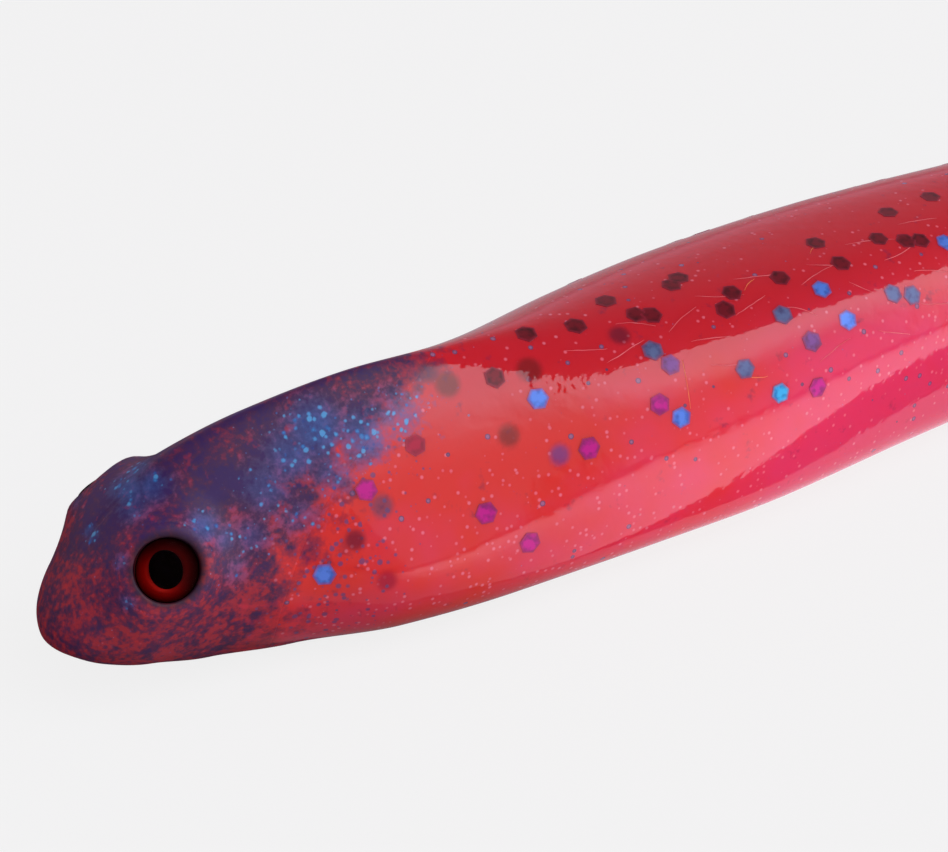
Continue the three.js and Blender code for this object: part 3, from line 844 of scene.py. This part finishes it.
def red_eye_foil():
    """Hot-stamped red foil under the eye's dome: deep red metal, dark at its edge, with painted
    light on the side where the dome throws the light and painted shade on the rest."""
    material, tree = new_material("red_eye_foil")
    reach = add(tree, "Attribute", attribute_name="foil_radius").outputs["Fac"]
    lit = add(tree, "Attribute", attribute_name="foil_painted_light").outputs["Fac"]
    place = add(tree, "Attribute", attribute_name="rest_mm").outputs["Vector"]
    grain = add(tree, "TexNoise", {"Vector": place, "Scale": 1 / 0.25, "Detail": 2})
    # Painted light: ring holds the foil's lit colours and shade a darker, shaded copy of them.
    ring = add(tree, "ValToRGB", {0: reach}, stops=(
        (0.44, "#5c0808"), (0.60, "#f02408"), (0.78, "#d81810"), (0.95, "#640a14")))
    shade = add(tree, "ValToRGB", {0: reach}, stops=(
        (0.40, "#2c0608"), (0.62, "#7c1018"), (0.82, "#601020"), (0.96, "#2c0810")))
    mixed = add(tree, "Mix", {0: lit, 6: shade.outputs[0], 7: ring.outputs[0]}, data_type="RGBA")
    worn = add(tree, "MapRange", {0: grain.outputs[0], 3: 0.25, 4: 0.4})
    shader = add(tree, "BsdfPrincipled", {
        "Base Color": mixed.outputs[2], "Metallic": 0.3, "Roughness": worn.outputs[0]})
    add(tree, "OutputMaterial", {0: shader.outputs[0]})
    return material


def black_pupil():
    """Matt black print on the foil, faintly blue in random patches."""
    material, tree = new_material("black_pupil")
    place = add(tree, "Attribute", attribute_name="rest_mm").outputs["Vector"]
    ink = add(tree, "TexNoise", {"Vector": place, "Scale": 1 / 0.5})
    tone = add(tree, "ValToRGB", {0: ink.outputs[0]}, stops=((0.45, "#000001"), (0.7, "#060a1c")))
    shader = add(tree, "BsdfPrincipled", {
        "Base Color": tone.outputs[0], "Roughness": 0.7, "Specular IOR Level": 0.04})
    add(tree, "OutputMaterial", {0: shader.outputs[0]})
    return material


def clear_resin():
    """Cast epoxy, clear and faintly amber, under a thin smear of soft plastic that dulls its
    shine."""
    material, tree = new_material("clear_resin")
    place = add(tree, "Attribute", attribute_name="rest_mm").outputs["Vector"]
    smear = add(tree, "TexNoise", {"Vector": place, "Scale": 1 / 0.6, "Detail": 2})
    dull = add(tree, "MapRange", {0: smear.outputs[0], 3: 0.08, 4: 0.2})
    through = add(tree, "BsdfTransparent", {"Color": linear("#e8ccc8")})
    shine = add(tree, "BsdfGlossy", {"Color": linear("#38322e"), "Roughness": dull.outputs[0]})
    edge = add(tree, "Fresnel", {"IOR": 1.45})
    mixed = add(tree, "MixShader", {0: edge.outputs[0], 1: through.outputs[0], 2: shine.outputs[0]})
    add(tree, "OutputMaterial", {0: mixed.outputs[0]})
    return material


def eyes(flesh_material):
    """Each eye: its lip, a dished foil with painted light on its side ahead and below, the printed
    pupil and the dome.
    """
    foil, ink, resin = red_eye_foil(), black_pupil(), clear_resin()
    for side in EYE_SIDES:
        eye_lid(side, flesh_material)
        iris = turned_on_eye(side, "eye_foil", FOIL_PROFILE, foil)
        forwards, down = eye_axes(side)
        rest = np.zeros(3 * len(iris.data.vertices), np.float32)
        iris.data.attributes["rest_mm"].data.foreach_get("vector", rest)
        offset = rest.reshape(-1, 3) - EYES[side][0]
        u, v = offset @ forwards, offset @ down
        radius = np.hypot(u, v)
        paint(iris.data, "foil_radius", radius / EYE_RADIUS)
        # Painted light on the foil, brightest on its side towards the front and below.
        toward = (0.86 * u + 0.5 * v) / np.maximum(radius, 0.01)
        paint(iris.data, "foil_painted_light", smooth(toward, -0.35, 0.9))
        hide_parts("eye_foil_" + side)
        pupil = turned_on_eye(side, "eye_pupil", PUPIL_PROFILE, ink, PUPIL_TALL)
        dome = turned_on_eye(side, "eye_dome", DOME_PROFILE, resin)
        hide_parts("eye_dome_" + side)


# ---- camera, lights and floor -------------------------------------------------------------
# Directions are (degrees round from straight out on the worm's left towards its tail, degrees up).
VIEW_DIRECTION = (-31.25, 35.76)
VIEW_DISTANCE = 95.85                # millimetres, from the point that the camera looks at
VIEW_CENTRE = (23.04, 0.0, 7.51)     # worm millimetres
LENS, SENSOR = 73.3, 36.0
LIT_CENTRE = (35, 0, 6)              # worm millimetres, what the lights face
LIGHT_DISTANCE = 0.6                 # metres
WINDOW_DIRECTION, WINDOW_RADIANCE = (45, 30), 2.6
FILL_DIRECTION, FILL_DEGREES, FILL_RADIANCE = (-10, 55), 50, 1.8
# The window's outline in metres, from one lower corner round: across it, and up.
WINDOW_CORNERS = [
    (-0.42, -0.34), (0.24, -0.34), (0.22, 0.0), (0.19, 0.125), (0.165, 0.17), (0.155, 0.24),
    (0.12, 0.3), (0.08, 0.34), (-0.05, 0.365), (-0.12, 0.355), (-0.17, 0.31), (-0.3, 0.27),
    (-0.42, 0.18)]
FLOOR_REACH = 3000                   # worm millimetres, as are the two heights
FLOOR_HEIGHT, PAPER_HEIGHT = -0.03, -0.1


def towards(degrees_round, degrees_up):
    """A direction as a step one long in the model's frame."""
    around, up = math.radians(degrees_round), math.radians(degrees_up)
    return np.array([
        math.sin(around) * math.cos(up), -math.cos(around) * math.cos(up), math.sin(up)])


def point_at(thing, target):
    thing.rotation_euler = (thing.location - Vector(target)).to_track_quat("Z", "Y").to_euler()


def camera():
    data = bpy.data.cameras.new("camera")
    data.lens, data.sensor_width = LENS, SENSOR
    data.clip_start, data.clip_end = 0.002, 20
    holder = bpy.data.objects.new("camera", data)
    target = metres(VIEW_CENTRE)
    holder.location = Vector(target + towards(*VIEW_DIRECTION) * VIEW_DISTANCE * MM)
    point_at(holder, target)
    bpy.context.scene.collection.objects.link(holder)
    bpy.context.scene.camera = holder


def hang_light(light, direction):
    """Hangs a light in one direction from the worm, facing it."""
    target = Vector(metres(LIT_CENTRE))
    light.location = target + Vector(towards(*direction)) * LIGHT_DISTANCE
    point_at(light, target)


def fill_light():
    """A soft light from the front and above that fills the shade but isn't mirrored."""
    data = bpy.data.lights.new("fill", "AREA")
    data.shape = "RECTANGLE"
    data.size = 2 * LIGHT_DISTANCE * math.tan(math.radians(FILL_DEGREES / 2))
    data.size_y = data.size
    data.energy = FILL_RADIANCE * data.size * data.size_y * math.pi
    data.color = linear("#f8f8ff")[:3]
    light = bpy.data.objects.new("fill", data)
    light.visible_glossy = False
    hang_light(light, FILL_DIRECTION)
    bpy.context.scene.collection.objects.link(light)


def flat_sheet(name, corners, material):
    """One flat face that is part of the studio, from its corners in metres."""
    mesh = bpy.data.meshes.new(name)
    mesh.from_pydata([tuple(corner) for corner in corners], [], [tuple(range(len(corners)))])
    mesh.materials.append(material)
    sheet = bpy.data.objects.new(name, mesh)
    bpy.context.scene.collection.objects.link(sheet)
    return sheet


def floor_sheet(name, corners, material, height):
    """A sheet at floor height or just under it, from (at, across) corners."""
    return flat_sheet(name, metres([(at, across, height) for at, across in corners]), material)


def window():
    """A bright window with a slanted right side, and sky brightest along its top and to its right.
    It lights the worm and is mirrored in it but isn't seen."""
    material, tree = new_material("window")
    across = add(tree, "SeparateXYZ", {0: add(tree, "TexCoord").outputs["Object"]})
    rightward = add(tree, "MapRange", {0: across.outputs[0], 1: -0.06, 2: 0.12},
                    interpolation_type="SMOOTHSTEP")
    upward = add(tree, "MapRange", {0: across.outputs[1], 1: -0.02, 2: 0.2},
                 interpolation_type="SMOOTHSTEP")
    most = add(tree, "Math", {0: rightward.outputs[0], 1: upward.outputs[0]}, operation="MAXIMUM")
    inward = add(tree, "MapRange", {0: across.outputs[0], 1: -0.34, 2: -0.12, 3: 0.1, 4: 1},
                 interpolation_type="SMOOTHSTEP")
    sky = add(tree, "Math", {0: most.outputs[0], 1: inward.outputs[0]}, operation="MULTIPLY")
    level = add(tree, "MapRange", {
        0: sky.outputs[0], 3: 0.25 * WINDOW_RADIANCE, 4: WINDOW_RADIANCE})
    glow = add(tree, "Emission", {"Color": linear("#f2f2ff"), "Strength": level.outputs[0]})
    add(tree, "OutputMaterial", {0: glow.outputs[0]})
    pane = flat_sheet("window", [(across, up, 0) for across, up in WINDOW_CORNERS], material)
    hang_light(pane, WINDOW_DIRECTION)
    pane.visible_camera = pane.visible_shadow = False


def bounce_paper(name, radiance):
    """Paper on the table that throws light up at the worm, less of it under the head and far
    off."""
    material, tree = new_material(name)
    along = add(tree, "SeparateXYZ", {0: add(tree, "TexCoord").outputs["Object"]})
    from_x, to_x = metres((16, 0, 0))[0], metres((40, 0, 0))[0]
    grow = add(tree, "MapRange", {
        0: along.outputs[0], 1: from_x, 2: to_x, 3: 0.2 * radiance, 4: radiance},
        interpolation_type="SMOOTHSTEP")
    away = add(tree, "MapRange", {0: along.outputs[1], 1: -0.2, 2: -0.03, 3: 0.3, 4: 1},
               interpolation_type="SMOOTHSTEP")
    strength = add(tree, "Math", {0: grow.outputs[0], 1: away.outputs[0]}, operation="MULTIPLY")
    glow = add(tree, "Emission", {"Color": linear("#ffe6f2"), "Strength": strength.outputs[0]})
    add(tree, "OutputMaterial", {0: glow.outputs[0]})
    return material


def studio():
    """The window, the fill light, a pale room that is brighter beyond the worm, and the floor and
    papers. The camera sees a plain pale ground."""
    window()
    fill_light()
    world = bpy.data.worlds.new("studio")
    bpy.context.scene.world = world
    world.use_nodes = True
    tree = world.node_tree
    tree.nodes.clear()
    direction = add(tree, "SeparateXYZ", {0: add(tree, "TexCoord").outputs["Generated"]})
    up = add(tree, "MapRange", {0: direction.outputs[2], 1: -0.1, 2: 0.9})
    sky = add(tree, "ValToRGB", {0: up.outputs[0]}, stops=(
        (0.0, "#48343c"), (0.2, "#b898a8"), (0.6, "#8c8088"), (1.0, "#6c646a")))
    beyond = add(tree, "MapRange", {0: direction.outputs[1], 1: 0.3, 2: 0.8, 3: 1.0, 4: 1.6})
    room = add(tree, "Background", {"Color": sky.outputs[0], "Strength": beyond.outputs[0]})
    backdrop = add(tree, "Background", {"Color": linear("#f3f3f3"), "Strength": 1.0})
    seen = add(tree, "LightPath")
    mixed = add(tree, "MixShader", {
        0: seen.outputs["Is Camera Ray"], 1: room.outputs[0], 2: backdrop.outputs[0]})
    add(tree, "OutputWorld", {0: mixed.outputs[0]})

    material, tree = new_material("pale_paper")
    lit = add(tree, "BsdfDiffuse", {"Color": linear("#505050")})
    glow = add(tree, "Emission", {"Color": linear("#f3f3f3"), "Strength": 0.93})
    total = add(tree, "AddShader", {0: lit.outputs[0], 1: glow.outputs[0]})
    add(tree, "OutputMaterial", {0: total.outputs[0]})
    near, far = -FLOOR_REACH, FLOOR_REACH
    floor = floor_sheet(
        "floor", [(near, near), (far, near), (far, far), (near, far)], material, FLOOR_HEIGHT)
    floor.visible_diffuse = floor.visible_glossy = floor.visible_shadow = False

    # Sheets on the table that only light the worm from below: one beside it, one further out with
    # a dark wedge of bare table between them, and one behind it.
    papers = [
        ("sheet_beside", "near_paper", 1.0, [
            (-20, -3), (-20, -9), (26, -8.6), (38, -10.9), (58, -13.4), (110, -20), (110, -3)]),
        ("sheet_beyond", "far_paper", 2.2, [
            (-60, -9.1), (-60, -300), (700, -300), (110, -47.6), (26, -8.8)]),
        ("sheet_behind", "rear_paper", 0.5, [(10, 3), (200, 3), (2000, 3000), (-1000, 3000)]),
    ]
    for name, paper, radiance, corners in papers:
        sheet = floor_sheet(name, corners, bounce_paper(paper, radiance), PAPER_HEIGHT)
        sheet.visible_camera = sheet.visible_shadow = False
    bpy.context.scene.view_settings.view_transform = "Standard"


camera()
studio()
plastisol = moulded_plastisol()
foils = [cut_foil(name, *FLAKE_COLOURS[name]) for name in FLAKE_NAMES]
orange_thread = dyed_fibre("orange_fibre", "#f0643c", "#f88c48")
pale_thread = dyed_fibre("pale_fibre", "#e4505a", "#ec7078")
all_flakes = flake_list()
for stretch in range(len(BENDS)):
    moulding = skin(stretch, plastisol)
    if stretch == 0:
        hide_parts("head", "front_body")
    else:
        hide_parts(LINKS[stretch + 1])
    glitter(stretch, all_flakes, foils)
    fibres(stretch, "orange_fibres", ORANGE_FIBRES, orange_thread)
    fibres(stretch, "pale_fibres", PALE_FIBRES, pale_thread)
eyes(plastisol)
